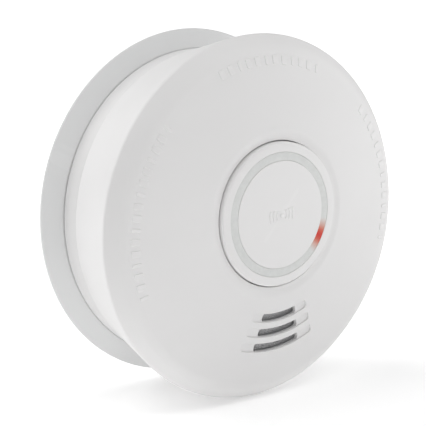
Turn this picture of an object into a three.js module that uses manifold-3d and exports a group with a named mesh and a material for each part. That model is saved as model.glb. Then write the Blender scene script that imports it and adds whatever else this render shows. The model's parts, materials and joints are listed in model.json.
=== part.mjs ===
// A round wall-mounted carbon monoxide detector, in millimetres: a mounting bracket that stays on the
// wall, a detector body that twists onto it, and a sprung test button with a light ring in its face.
//
// Every piece is drawn in the front frame: x to the right and y up as seen from the room, z out of the
// wall, with z = 0 on the wall. The exported group turns that frame so that +Z is up and the face
// looks along -Y, with the origin at the centre of the bracket's back face.
import * as THREE from "three";
import { mergeVertices } from "three/addons/utils/BufferGeometryUtils.js";
import Module from "manifold-3d";

const wasm = await Module();
wasm.setup();

// ---- Driving dimensions -------------------------------------------------------------------------
const GAP = 0.3; // between pieces that touch
const WALL = 2; // moulded wall of the outer shells
const ROUND = 72; // segments round the large shells
const SMALL_ROUND = 16; // segments round pins, screws and bosses

const BRACKET_RADIUS = 58.3;
const BRACKET_LIP_RADIUS = 52.4;
const BRACKET_HEIGHT = 4.4;
const WEB_THICKNESS = 2;
const WEB_EDGE_RADIUS = 49.5;
const WEB_RIBS = [20, 39];
const SCREW_SLOT_WIDTH = 5;
const SCREW_SLOT_LENGTH = 12;
const SCREW_SLOT_OFFSET = 33;
const KEYHOLE_RADIUS = 4.5;

const BACK = 4.7; // back face of the detector body
const FLOOR_THICKNESS = 1.5;
const FLOOR_TOP = BACK + FLOOR_THICKNESS;
const NECK_RADIUS = 52.2;
const NECK_TOP = 12;
const TONGUE_RADIUS = 50.7;
const TONGUE_TOP = 15.5;

const RIM_RADIUS = 60; // widest circle of the front cover
const RIM_HEIGHT = 37.5;
const LIP_RADIUS = 52.9; // rear edge of the front cover's flared side
const LIP_HEIGHT = NECK_TOP + GAP;
const EDGE_RADIUS = 53.5; // where the rounding of the face's edge meets the dome
const EDGE_CONTROL = [56.3, 42.2]; // radius and height of that rounding's control point
const DOME_HEIGHT = 51.5;
const DOME_RADIUS = 174.4; // the face is a shallow cap of this sphere

const HOOK_ANGLES = [30, 150, 270];
const HOOK_HALF_ANGLE = 7;
const HOOK_INNER = 42;
const HOOK_STEM = 44;
const HOOK_OUTER = 46.2;
const HOOK_FLANGE = [6.5, 7.9]; // heights of the flange that holds the body
const TWIST = 16; // degrees that the body turns to come free

const BUTTON_Y = 3.2; // the button sits a little above the middle
const BUTTON_RADIUS = 23.4;
const BUTTON_FACE = 51.6; // height of the button's crown on its axis
const BUTTON_CROWN = 231; // radius of the crown
const BUTTON_PLATE = 49.2; // underside of the plate that carries the stem
const BUTTON_HOLE = BUTTON_RADIUS + 0.5;
const DISH_RADIUS = 27; // a shallow dish runs round the button
const DISH_DEPTH = 0.6;
const COLLAR_BOTTOM = 44;
const BARB_RADIUS = 25.2;
const BARB_ANGLES = [60, 180, 300];
const GROOVE = [17.2, 20.5];
const GROOVE_FLOOR = [47.4, 48.8];

const LIGHT_RING = [17.5, 20.2];
const LIGHT_RING_TOP = 50.6;
const LED_CIRCLE = (LIGHT_RING[0] + LIGHT_RING[1]) / 2;
const LEDS = [
  ["led_alarm_red", -31, "redLens"],
  ["led_power_green", 89, "greenLens"],
  ["led_fault_amber", 209, "amberLens"],
];

const SLOT_CIRCLES = [30.9, 36.05, 41.2]; // radii of the grille's arcs
const SLOT_HALF_WIDTH = 1.3;
const SLOT_HALF_ANGLE = 13.1;
const CHANNEL_HALF_WIDTH = 1.5;
const CHANNEL_HALF_ANGLE = 20.8;
const CHANNEL_DEPTH = 0.7;
const ABOVE_FACE = 55; // a height clear of the face, where cutters end

const PCB_BOTTOM = 24.2;
const PCB_TOP = PCB_BOTTOM + 1.6;
const PART_BASE = PCB_TOP + GAP; // underside of what stands on the board
const PCB_RADIUS = 47.5;
const PCB_SCREWS = [
  [28, 24],
  [-38, -8],
  [20, -37],
];
const COVER_SCREW_CIRCLE = 45.5;
const COVER_SCREW_ANGLES = [90, 210, 330];
const BOSS_RADIUS = 3.2;

const CELL_RADIUS = 7.2;
const CELL_LENGTH = 49.3;
const CELL_NUB = 1.2;
const CELL_Y = 7.5;
const CELL_Z = 13.2;
const WELL = { x: 28.2, y: 15.4, ceiling: 20.9, wall: 1.5 };
const CONTACT = { x: 27.7, thickness: 0.4, bottom: 6.4, top: 20.4, width: 11 };

const SENSOR = { x: -27, y: 24, radius: 10, bottom: 26.4, top: 39 };
const SOUNDER = { y: -36, radius: 14, bottom: 31.5, top: 41 };
const SOUNDER_PINS = [-4, 4];
const SCREEN = { y: -35.8, z: 44.6, width: 22, height: 15.4, thickness: 0.4, tilt: 11.8 };

// ---- Materials ----------------------------------------------------------------------------------
const finish = (color, roughness, metalness = 0) =>
  new THREE.MeshStandardMaterial({ color, roughness, metalness });
const materials = {
  shell: finish(0xecebea, 0.5),
  bracket: finish(0xe9e8e7, 0.55),
  ring: finish(0xd6d8d6, 0.35),
  board: finish(0x1f5a34, 0.5),
  black: finish(0x1c1c1e, 0.6),
  screen: finish(0x55565a, 0.6),
  steel: finish(0xc4c6c8, 0.3, 1),
  brass: finish(0xc8a552, 0.35, 1),
  ceramic: finish(0xe8e4da, 0.4),
  cell: finish(0x2b3138, 0.35, 0.3),
  redLens: finish(0xc8321e, 0.2),
  greenLens: finish(0x3f9a4c, 0.2),
  amberLens: finish(0xd98a1c, 0.2),
};

// ---- Geometry helpers ---------------------------------------------------------------------------
const radians = THREE.MathUtils.degToRad;
const onCircle = (radius, degrees) => [
  radius * Math.cos(radians(degrees)),
  radius * Math.sin(radians(degrees)),
];
const capHeight = (top, curve, radius) => top - curve + Math.sqrt(curve * curve - radius * radius);
const domeHeight = (radius) => capHeight(DOME_HEIGHT, DOME_RADIUS, radius);
const crownHeight = (radius) => capHeight(BUTTON_FACE, BUTTON_CROWN, radius);

// A closed three.js geometry as a solid that can be joined and cut.
function solid(geometry) {
  const bare = geometry.index ? geometry.toNonIndexed() : geometry.clone();
  bare.deleteAttribute("normal");
  bare.deleteAttribute("uv");
  const merged = mergeVertices(bare, 1e-4);
  const { position } = merged.attributes;
  const corner = (i) => new THREE.Vector3().fromBufferAttribute(position, i);
  const triangles = [];
  let volume = 0;
  for (let i = 0; i < merged.index.count; i += 3) {
    const [a, b, c] = [0, 1, 2].map((k) => merged.index.getX(i + k));
    if (a === b || b === c || c === a) continue;
    volume += corner(a).dot(corner(b).cross(corner(c)));
    triangles.push([a, b, c]);
  }
  if (volume < 0) triangles.forEach((t) => t.reverse());
  return new wasm.Manifold(
    new wasm.Mesh({
      numProp: 3,
      vertProperties: position.array,
      triVerts: new Uint32Array(triangles.flat()),
    }),
  );
}

const join = (...solids) => solids.reduce((all, s) => all.add(s));
const cut = (from, ...solids) => solids.reduce((left, s) => left.subtract(s), from);

// A body of revolution about z from a profile of [radius, height] points.
function turned(profile, segments = ROUND, x = 0, y = 0) {
  const points = profile.map(([radius, height]) => new THREE.Vector2(radius, height));
  return solid(new THREE.LatheGeometry(points, segments).rotateX(Math.PI / 2).translate(x, y, 0));
}

const ring = (inner, outer, bottom, top, segments = ROUND, x = 0, y = 0) =>
  turned(
    [
      [inner, bottom],
      [outer, bottom],
      [outer, top],
      [inner, top],
      [inner, bottom],
    ],
    segments,
    x,
    y,
  );

const rod = (radius, bottom, top, x = 0, y = 0, segments = SMALL_ROUND) =>
  turned(
    [
      [0, bottom],
      [radius, bottom],
      [radius, top],
      [0, top],
    ],
    segments,
    x,
    y,
  );

const block = (width, height, bottom, top, x = 0, y = 0) =>
  solid(new THREE.BoxGeometry(width, height, top - bottom).translate(x, y, (bottom + top) / 2));

// An arc of a ring between two angles in degrees, with straight sides.
function sector(inner, outer, from, to, bottom, top) {
  const shape = new THREE.Shape();
  shape.absarc(0, 0, outer, radians(from), radians(to), false);
  shape.absarc(0, 0, inner, radians(to), radians(from), true);
  const curveSegments = Math.ceil((to - from) / 6);
  const options = { depth: top - bottom, bevelEnabled: false, curveSegments };
  return solid(new THREE.ExtrudeGeometry(shape, options).translate(0, 0, bottom));
}

// A coil spring along z, whose end turns lie flat. The radius runs evenly from one end to the other.
class Helix extends THREE.Curve {
  constructor(startRadius, endRadius, bottom, top, turns) {
    super();
    Object.assign(this, { startRadius, endRadius, bottom, top, turns });
  }

  getPoint(t, target = new THREE.Vector3()) {
    const angle = 2 * Math.PI * this.turns * t;
    const radius = this.startRadius + (this.endRadius - this.startRadius) * t;
    const rise = THREE.MathUtils.smoothstep(t, 0.5 / this.turns, 1 - 0.5 / this.turns);
    const even = (t + rise) / 2;
    return target.set(
      radius * Math.cos(angle),
      radius * Math.sin(angle),
      this.bottom + (this.top - this.bottom) * even,
    );
  }
}

function coil(helix, wireRadius, stepsPerTurn) {
  const section = new THREE.Shape();
  section.absarc(0, 0, wireRadius, 0, 2 * Math.PI, false);
  return new THREE.ExtrudeGeometry(section, {
    extrudePath: helix,
    steps: Math.round(helix.turns * stepsPerTurn),
    curveSegments: 3,
    bevelEnabled: false,
  });
}

// ---- The model's group --------------------------------------------------------------------------
const detector = new THREE.Group();
detector.rotation.x = Math.PI / 2;

function piece(name, shape, material, parent = detector) {
  const { numProp, vertProperties, triVerts } = shape.getMesh();
  const geometry = new THREE.BufferGeometry();
  const xyz = new Float32Array((vertProperties.length / numProp) * 3);
  for (let i = 0; i < xyz.length / 3; i++) {
    xyz.set(vertProperties.subarray(i * numProp, i * numProp + 3), i * 3);
  }
  geometry.setAttribute("position", new THREE.BufferAttribute(xyz, 3));
  geometry.setIndex(new THREE.BufferAttribute(new Uint32Array(triVerts), 1));
  geometry.computeVertexNormals();
  const mesh = new THREE.Mesh(geometry, materials[material]);
  mesh.name = name;
  parent.add(mesh);
  return mesh;
}

// ---- Mounting bracket ---------------------------------------------------------------------------
// A flat web with a conical shoulder round it, screw slots, and three hooks that hold the body.
function mountingBracket() {
  const plate = turned([
    [0, 0],
    [BRACKET_RADIUS, 0],
    [BRACKET_RADIUS, 0.8],
    [BRACKET_LIP_RADIUS, BRACKET_HEIGHT],
    [BRACKET_LIP_RADIUS - 1.6, BRACKET_HEIGHT],
    [BRACKET_LIP_RADIUS - 1.6, 3.2],
    [WEB_EDGE_RADIUS, WEB_THICKNESS],
    [0, WEB_THICKNESS],
  ]);
  const ribs = WEB_RIBS.map((radius) => ring(radius, radius + 1.2, WEB_THICKNESS - 0.2, 3.4, 48));
  const hooks = HOOK_ANGLES.flatMap((angle) => {
    const [from, to] = [angle - HOOK_HALF_ANGLE, angle + HOOK_HALF_ANGLE];
    return [
      sector(HOOK_INNER, HOOK_STEM, from, to, WEB_THICKNESS - 0.2, HOOK_FLANGE[1]),
      sector(HOOK_INNER, HOOK_OUTER, from, to, ...HOOK_FLANGE),
    ];
  });
  // A hollow behind the shoulder keeps its wall even, and twelve ribs cross it.
  const pocketSpan = 360 / 12;
  const pockets = Array.from({ length: 12 }, (_, i) =>
    sector(50.8, 55.6, i * pocketSpan + 1, (i + 1) * pocketSpan - 1, -1, 1.2),
  );
  const reach = [-1, WEB_THICKNESS + 3];
  const slotEnd = SCREW_SLOT_WIDTH / 2;
  const slotRun = SCREW_SLOT_LENGTH - SCREW_SLOT_WIDTH; // between the centres of its round ends
  const straightSlots = [-1, 1].flatMap((side) => {
    const middle = side * SCREW_SLOT_OFFSET;
    return [
      block(slotRun, SCREW_SLOT_WIDTH, ...reach, middle, 0),
      rod(slotEnd, ...reach, middle - slotRun / 2, 0, 32),
      rod(slotEnd, ...reach, middle + slotRun / 2, 0, 32),
    ];
  });
  const keyholes = [-1, 1].flatMap((side) => [
    rod(KEYHOLE_RADIUS, ...reach, 0, side * SCREW_SLOT_OFFSET - 3),
    block(SCREW_SLOT_WIDTH, 10, ...reach, 0, side * SCREW_SLOT_OFFSET + 2),
  ]);
  piece(
    "mounting_bracket",
    cut(join(plate, ...ribs, ...hooks), ...pockets, ...straightSlots, ...keyholes),
    "bracket",
  );
}

// ---- Rear housing -------------------------------------------------------------------------------
// A shallow cup with the battery well, the board's bosses and the slots for the bracket's hooks.
function rearHousing() {
  const cup = turned([
    [0, BACK],
    [NECK_RADIUS - 0.8, BACK],
    [NECK_RADIUS, BACK + 0.8],
    [NECK_RADIUS, NECK_TOP],
    [TONGUE_RADIUS, NECK_TOP],
    [TONGUE_RADIUS, TONGUE_TOP],
    [TONGUE_RADIUS - 1.7, TONGUE_TOP],
    [TONGUE_RADIUS - 1.7, FLOOR_TOP],
    [0, FLOOR_TOP],
  ]);
  const wellTop = WELL.ceiling + WELL.wall;
  const wellBox = block(2 * (WELL.x + WELL.wall), 2 * (WELL.y + WELL.wall), BACK + 0.1, wellTop);
  const boardBosses = PCB_SCREWS.map(([x, y]) => rod(3, FLOOR_TOP - 0.2, PCB_BOTTOM - GAP, x, y));
  const coverSeats = COVER_SCREW_ANGLES.map((angle) =>
    rod(3.4, FLOOR_TOP - 0.2, 8.3, ...onCircle(COVER_SCREW_CIRCLE, angle)),
  );

  const wellRoom = block(2 * WELL.x, 2 * WELL.y, BACK - 1, WELL.ceiling);
  const boardPilots = PCB_SCREWS.map(([x, y]) => rod(1.25, 16, PCB_BOTTOM + 1, x, y));
  const coverHoles = COVER_SCREW_ANGLES.flatMap((angle) => {
    const place = onCircle(COVER_SCREW_CIRCLE, angle);
    return [rod(1.4, BACK - 1, 9, ...place), rod(2.9, BACK - 1, 6.5, ...place)];
  });
  // Each hook drops through the wide part of its slot and locks over the edge of the narrow part.
  const hookSlots = HOOK_ANGLES.flatMap((angle) => {
    const start = angle - TWIST - HOOK_HALF_ANGLE - 1.5;
    const ledge = angle - HOOK_HALF_ANGLE - 0.5;
    const end = angle + HOOK_HALF_ANGLE + 0.5;
    const inner = HOOK_INNER - 0.4;
    return [
      sector(inner, HOOK_OUTER + 0.4, start, ledge, BACK - 1, FLOOR_TOP + 1),
      sector(inner, HOOK_STEM + 0.4, ledge - 1, end, BACK - 1, FLOOR_TOP + 1),
    ];
  });
  const tabSlots = [-CELL_Y, CELL_Y].map((y) =>
    block(1.2, 3.2, WELL.ceiling - 1, wellTop + 1, -CONTACT.x, y),
  );
  piece(
    "rear_housing",
    cut(
      join(cup, wellBox, ...boardBosses, ...coverSeats),
      wellRoom,
      ...boardPilots,
      ...coverHoles,
      ...hookSlots,
      ...tabSlots,
    ),
    "shell",
  );
}

// ---- Front cover --------------------------------------------------------------------------------
// Points from the rim round the face's edge and over the dome to the axis, moved in by an offset.
function faceProfile(offset, edgeSteps, domeSteps) {
  const edge = new THREE.QuadraticBezierCurve(
    new THREE.Vector2(RIM_RADIUS - offset, RIM_HEIGHT - 0.6 * offset),
    new THREE.Vector2(EDGE_CONTROL[0] - 0.6 * offset, EDGE_CONTROL[1] - offset),
    new THREE.Vector2(EDGE_RADIUS, domeHeight(EDGE_RADIUS) - offset),
  );
  const points = edge.getPoints(edgeSteps).map(({ x, y }) => [x, y]);
  for (let i = 1; i <= domeSteps; i++) {
    const radius = EDGE_RADIUS * (1 - i / domeSteps);
    points.push([radius, domeHeight(radius) - offset]);
  }
  return points;
}

// The shallow dish that the cover has round the button, square to the dome where the button is.
function dish() {
  const profile = [
    [BUTTON_RADIUS - 1, domeHeight(BUTTON_RADIUS) - DISH_DEPTH],
    [BUTTON_HOLE + 0.9, domeHeight(BUTTON_HOLE) - DISH_DEPTH],
    [DISH_RADIUS - 0.9, domeHeight(DISH_RADIUS) - DISH_DEPTH * 0.4],
    [DISH_RADIUS, domeHeight(DISH_RADIUS) + 0.05],
    [DISH_RADIUS, DOME_HEIGHT + 2],
    [BUTTON_RADIUS - 1, DOME_HEIGHT + 2],
  ].map(([radius, height]) => new THREE.Vector2(radius, height - DOME_HEIGHT + DOME_RADIUS));
  return solid(
    new THREE.LatheGeometry([...profile, profile[0]], 60)
      .rotateX(Math.PI / 2 - Math.asin(BUTTON_Y / DOME_RADIUS))
      .translate(0, 0, DOME_HEIGHT - DOME_RADIUS),
  );
}

function frontCover() {
  const outer = faceProfile(0, 4, 7);
  const inner = faceProfile(WALL, 2, 4).reverse();
  const shell = turned([
    [LIP_RADIUS - 1.6, LIP_HEIGHT + 0.5],
    [LIP_RADIUS - 1, LIP_HEIGHT],
    [LIP_RADIUS - 0.3, LIP_HEIGHT + 0.1],
    [LIP_RADIUS, LIP_HEIGHT + 0.7],
    ...outer,
    ...inner,
    [LIP_RADIUS - 1.6, LIP_HEIGHT + 2],
    [LIP_RADIUS - 1.6, LIP_HEIGHT + 0.5],
  ]);
  const collar = ring(BUTTON_HOLE - 1, BUTTON_HOLE + 1.6, COLLAR_BOTTOM, ABOVE_FACE, 60, 0, BUTTON_Y);
  const sounderCollar = ring(14.4, 15.9, 36, ABOVE_FACE, 36, 0, SOUNDER.y);
  const bosses = COVER_SCREW_ANGLES.map((angle) =>
    rod(BOSS_RADIUS, 8.6, ABOVE_FACE, ...onCircle(COVER_SCREW_CIRCLE, angle)),
  );
  const underDome = turned([
    [0, LIP_HEIGHT - 5],
    [RIM_RADIUS - WALL, LIP_HEIGHT - 5],
    ...faceProfile(WALL / 2, 2, 5),
  ]);
  const inside = join(collar, sounderCollar, ...bosses).intersect(underDome);

  const buttonHole = rod(BUTTON_HOLE, 35, ABOVE_FACE, 0, BUTTON_Y, 60);
  const pilots = COVER_SCREW_ANGLES.map((angle) =>
    rod(1.25, 7, 17, ...onCircle(COVER_SCREW_CIRCLE, angle)),
  );
  const grille = SLOT_CIRCLES.flatMap((radius) => {
    const channelFloor = domeHeight(radius) - CHANNEL_DEPTH;
    const [wide, narrow] = [CHANNEL_HALF_ANGLE, SLOT_HALF_ANGLE];
    return [
      sector(
        radius - CHANNEL_HALF_WIDTH,
        radius + CHANNEL_HALF_WIDTH,
        270 - wide,
        270 + wide,
        channelFloor,
        ABOVE_FACE,
      ),
      sector(
        radius - SLOT_HALF_WIDTH,
        radius + SLOT_HALF_WIDTH,
        270 - narrow,
        270 + narrow,
        40,
        ABOVE_FACE,
      ),
    ];
  });
  piece("front_cover", cut(join(shell, inside), buttonHole, dish(), ...pilots, ...grille), "shell");
}

// ---- Test button and its light ring -------------------------------------------------------------
const buttonAxis = new THREE.Group(); // everything on the button's axis is drawn about it
buttonAxis.position.set(0, BUTTON_Y, 0);
detector.add(buttonAxis);

function testButton() {
  const skirt = BUTTON_RADIUS - 1.7;
  const crown = (radius) => [radius, crownHeight(radius)];
  const cap = turned(
    [
      [0, BUTTON_PLATE],
      [GROOVE[0] - 1.5, BUTTON_PLATE],
      [GROOVE[0] - 1.5, GROOVE_FLOOR[0]],
      [skirt, GROOVE_FLOOR[0]],
      [skirt, COLLAR_BOTTOM + 1],
      [BUTTON_RADIUS, COLLAR_BOTTOM + 1],
      [BUTTON_RADIUS, crownHeight(BUTTON_RADIUS) - 0.8],
      [BUTTON_RADIUS - 0.3, crownHeight(BUTTON_RADIUS) - 0.25],
      crown(BUTTON_RADIUS - 0.9),
      crown(GROOVE[1]),
      [GROOVE[1], GROOVE_FLOOR[1]],
      [GROOVE[0], GROOVE_FLOOR[1]],
      crown(GROOVE[0]),
      crown(10),
      crown(0),
    ],
    60,
  );
  const barbBottom = COLLAR_BOTTOM - 1.8;
  const barbs = BARB_ANGLES.flatMap((angle) => {
    const [from, to] = [angle - 10, angle + 10];
    return [
      sector(skirt, BUTTON_RADIUS - 0.1, from, to, barbBottom, COLLAR_BOTTOM + 1.2),
      sector(skirt, BARB_RADIUS, from, to, barbBottom, COLLAR_BOTTOM - GAP),
    ];
  });
  const stem = rod(2.2, 31.2, BUTTON_PLATE + 0.2);
  const springSeat = rod(4.8, BUTTON_PLATE - 1.2, BUTTON_PLATE + 0.2);
  const legRoom = LEDS.map(([, angle]) =>
    sector(...LIGHT_RING, angle - 8.5, angle + 8.5, BUTTON_PLATE - 9, GROOVE_FLOOR[1] + 0.5),
  );
  const body = cut(join(cap, ...barbs, stem, springSeat), ...legRoom);
  piece("test_button", body, "shell", buttonAxis);
}

function lightRing() {
  const band = ring(...LIGHT_RING, GROOVE_FLOOR[1] + GAP, LIGHT_RING_TOP, 60);
  const [inner, outer] = LIGHT_RING;
  const legs = LEDS.map(([, angle]) =>
    sector(inner + GAP, outer - GAP, angle - 7, angle + 7, 30.2, LIGHT_RING_TOP - 1),
  );
  piece("light_ring", join(band, ...legs), "ring", buttonAxis);
}

function returnSpring() {
  const wire = 0.4;
  const helix = new Helix(6, 6, PART_BASE + wire, BUTTON_PLATE - GAP - wire, 7);
  piece("return_spring", solid(coil(helix, wire, 12)), "steel", buttonAxis);
}

function testSwitch() {
  const [bottom, top] = [PART_BASE, 29.4];
  const body = cut(block(6.2, 6.2, bottom, top), rod(2, 27, top + 1));
  piece("switch_body", body, "black", buttonAxis);
  piece("switch_plunger", rod(1.6, 28.3, 30.9), "black", buttonAxis);
}

function leds() {
  for (const [name, angle, lens] of LEDS) {
    const profile = [
      [0, PART_BASE],
      [1.8, PART_BASE],
      [1.8, PART_BASE + 0.9],
      [1.5, PART_BASE + 0.9],
      [1.5, 27.9],
      [1.1, 28.7],
      [0, 29],
    ];
    piece(name, turned(profile, SMALL_ROUND, ...onCircle(LED_CIRCLE, angle)), lens, buttonAxis);
  }
}

// ---- Circuit board and what stands on it --------------------------------------------------------
function mainBoard() {
  const notches = COVER_SCREW_ANGLES.map((angle) =>
    rod(4, PCB_BOTTOM - 1, PCB_TOP + 1, ...onCircle(COVER_SCREW_CIRCLE, angle)),
  );
  const screwHoles = PCB_SCREWS.map(([x, y]) => rod(1.4, PCB_BOTTOM - 1, PCB_TOP + 1, x, y));
  const sensorHoles = sensorPins().map(([x, y]) => rod(1, PCB_BOTTOM - 1, PCB_TOP + 1, x, y, 10));
  const sounderHoles = SOUNDER_PINS.map((x) =>
    rod(0.9, PCB_BOTTOM - 1, PCB_TOP + 1, x, SOUNDER.y, 10),
  );
  const tabHoles = [-CELL_Y, CELL_Y].map((y) =>
    block(1.2, 3.2, PCB_BOTTOM - 1, PCB_TOP + 1, -CONTACT.x, y),
  );
  const disc = rod(PCB_RADIUS, PCB_BOTTOM, PCB_TOP, 0, 0, ROUND);
  piece(
    "main_board",
    cut(disc, ...notches, ...screwHoles, ...sensorHoles, ...sounderHoles, ...tabHoles),
    "board",
  );
  piece("mcu_chip", block(7, 7, PART_BASE, PART_BASE + 1.3, 10, -17), "black");
  piece("boost_inductor", rod(4, PART_BASE, 32, 30, -10), "black");
  piece("storage_capacitor", rod(3.15, PART_BASE, 33.5, -22, -18), "black");
}

const sensorPins = () =>
  [90, 210, 330].map((angle) => {
    const [x, y] = onCircle(6.5, angle);
    return [SENSOR.x + x, SENSOR.y + y];
  });

// An electrochemical cell: a can on three pins, with a gas inlet cap.
function gasSensor() {
  const { x, y, radius, bottom, top } = SENSOR;
  const can = turned(
    [
      [0, bottom],
      [radius, bottom],
      [radius, top - 0.8],
      [radius - 0.8, top],
      [0, top],
    ],
    36,
    x,
    y,
  );
  const pins = sensorPins().map(([px, py]) => rod(0.6, 22.9, bottom + 0.5, px, py, 8));
  piece("co_sensor_can", join(can, ...pins), "steel");
  piece("co_sensor_cap", ring(1.5, 7.5, top + GAP, top + GAP + 1, 30, x, y), "black");
}

// A resonator cup with the piezo disc held in the step of its mouth.
function sounder() {
  const { y, radius, bottom, top } = SOUNDER;
  const cup = turned(
    [
      [12.6, bottom],
      [radius, bottom],
      [radius, top],
      [3.2, top],
      [3.2, top - 1.5],
      [11.6, top - 1.5],
      [11.6, 33.8],
      [12.6, 33.8],
      [12.6, bottom],
    ],
    40,
    0,
    y,
  );
  piece("sounder_housing", cup, "black");
  piece("piezo_disc", rod(12.2, 33.2, 33.5, 0, y, 36), "brass");
  piece("piezo_ceramic", rod(8.5, 32.6, 32.9, 0, y, 30), "ceramic");
  SOUNDER_PINS.forEach((x, i) => {
    piece(`sounder_pin_${i + 1}`, rod(0.45, 23.2, 32.3, x, y, 8), "steel");
  });
}

function grilleScreen() {
  const { y, z, width, height, thickness, tilt } = SCREEN;
  const plate = new THREE.BoxGeometry(width, height, thickness)
    .rotateX(radians(tilt))
    .translate(0, y, z);
  piece("grille_screen", solid(plate), "screen");
}

// ---- Cells and their contacts -------------------------------------------------------------------
// Each cell lies along x; direction is +1 where its positive nub points to +x.
function cells() {
  [1, -1].forEach((direction, i) => {
    const nubEnd = CONTACT.x - CONTACT.thickness / 2 - GAP;
    const start = nubEnd - CELL_LENGTH - CELL_NUB;
    const profile = [
      [0, start],
      [CELL_RADIUS - 0.8, start],
      [CELL_RADIUS, start + 0.8],
      [CELL_RADIUS, nubEnd - CELL_NUB - 0.8],
      [CELL_RADIUS - 0.8, nubEnd - CELL_NUB],
      [2.7, nubEnd - CELL_NUB],
      [2.7, nubEnd],
      [0, nubEnd],
    ];
    const holder = new THREE.Group();
    holder.position.set(0, direction * CELL_Y, CELL_Z);
    holder.rotation.y = (direction * Math.PI) / 2;
    detector.add(holder);
    piece(`battery_${i + 1}`, turned(profile, 36), "cell", holder);

    const springEnd = -CONTACT.x + CONTACT.thickness / 2 + GAP + 0.4;
    const helix = new Helix(4.6, 2.6, springEnd, start - GAP - 0.4, 3);
    piece(`contact_spring_${i + 1}`, solid(coil(helix, 0.35, 12)), "steel", holder);
  });
}

function contacts() {
  const { x, thickness, bottom, top, width } = CONTACT;
  const tab = (y) => block(thickness, 2.4, top - 0.5, PCB_TOP + 1, -x, y);
  const plate = (side, y, span) => block(thickness, span, bottom, top, side * x, y);
  piece("contact_bridge", plate(1, 0, width + 2 * CELL_Y), "steel");
  piece("contact_negative", join(plate(-1, CELL_Y, width), tab(CELL_Y)), "steel");
  piece("contact_positive", join(plate(-1, -CELL_Y, width), tab(-CELL_Y)), "steel");
}

// ---- Screws -------------------------------------------------------------------------------------
// A pan-head screw along z: the head's flat side is at seat, and the shank runs from it.
function screw(name, x, y, seat, shankEnd) {
  const up = Math.sign(seat - shankEnd);
  const headHeight = 1.3;
  const profile = [
    [0, shankEnd],
    [0.7, shankEnd],
    [0.95, shankEnd + up],
    [0.95, seat],
    [2.5, seat],
    [2.5, seat + up * headHeight * 0.6],
    [1.9, seat + up * headHeight],
    [0, seat + up * headHeight],
  ];
  const slot = (w, h) =>
    block(w, h, ...[seat + up * 0.5, seat + up * 2].sort((a, b) => a - b), x, y);
  const recess = [slot(2.4, 0.6), slot(0.6, 2.4)];
  piece(name, cut(turned(profile, SMALL_ROUND, x, y), ...recess), "steel");
}

function screws() {
  PCB_SCREWS.forEach(([x, y], i) => screw(`board_screw_${i + 1}`, x, y, PART_BASE, 17));
  COVER_SCREW_ANGLES.forEach((angle, i) => {
    screw(`housing_screw_${i + 1}`, ...onCircle(COVER_SCREW_CIRCLE, angle), 6.2, 16);
  });
}

mountingBracket();
rearHousing();
frontCover();
testButton();
lightRing();
returnSpring();
testSwitch();
leds();
mainBoard();
gasSensor();
sounder();
grilleScreen();
cells();
contacts();
screws();

export default detector;
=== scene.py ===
import json
import math

import bmesh
import bpy
from mathutils import Matrix, Vector


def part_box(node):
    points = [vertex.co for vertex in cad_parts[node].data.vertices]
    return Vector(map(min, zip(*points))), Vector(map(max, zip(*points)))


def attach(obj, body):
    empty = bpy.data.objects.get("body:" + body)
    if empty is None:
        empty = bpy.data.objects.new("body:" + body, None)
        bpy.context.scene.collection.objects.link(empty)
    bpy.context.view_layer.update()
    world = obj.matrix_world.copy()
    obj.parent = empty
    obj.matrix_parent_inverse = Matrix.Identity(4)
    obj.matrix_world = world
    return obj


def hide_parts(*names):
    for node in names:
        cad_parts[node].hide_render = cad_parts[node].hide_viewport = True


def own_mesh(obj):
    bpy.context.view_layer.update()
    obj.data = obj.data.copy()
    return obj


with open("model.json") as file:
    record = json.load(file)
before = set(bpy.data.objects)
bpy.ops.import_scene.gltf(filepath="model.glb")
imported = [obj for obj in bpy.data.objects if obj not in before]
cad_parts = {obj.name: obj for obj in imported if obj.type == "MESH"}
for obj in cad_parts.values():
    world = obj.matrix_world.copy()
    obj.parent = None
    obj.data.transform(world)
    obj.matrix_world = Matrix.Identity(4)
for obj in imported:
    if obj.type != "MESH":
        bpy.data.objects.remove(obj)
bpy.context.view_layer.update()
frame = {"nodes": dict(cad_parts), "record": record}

# ---- Sizes, in millimetres ------------------------------------------------------------------------
ROUND = 240  # segments round the large shells
GAP = 0.3

RIM_RADIUS = 60.0
RIM_HEIGHT = 37.5
LIP_RADIUS = 52.9
LIP_HEIGHT = 12.3
EDGE_RADIUS = 53.5  # where the rounding of the face's edge meets the dome
EDGE_CONTROL = (56.3, 42.2)
DOME_HEIGHT = 51.5
DOME_RADIUS = 174.4
RIM_ROUND = 1.5
COVER_WALL = 2.0
LIP_WALL = 1.6

BUTTON_Y = 3.2
BUTTON_RADIUS = 23.4
BUTTON_HOLE = 23.7
BUTTON_FACE = 51.6
BUTTON_CROWN = 231.0
COLLAR_BOTTOM = 44.0
DISH_RADIUS = 27.2
DISH_DEPTH = 0.6
GROOVE = (17.46, 20.24)
GROOVE_FLOOR = (47.4, 48.8)
RING = (17.5, 20.2)
RING_SINK = 0.1  # how far the light ring sits below the button's crown
LAMP_ANGLES = (-31.0, 89.0, 209.0)

SLOT_CIRCLES = (30.9, 36.05, 41.2)
SLOT_MIDDLE = 270.0  # the grille stands below the button
CHANNEL = {"half_width": 1.5, "half_angle": 20.8, "depth": 0.55, "corner": 0.9}
SLOT = {"half_width": 1.3, "half_angle": 13.1, "corner": 0.8}

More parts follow.
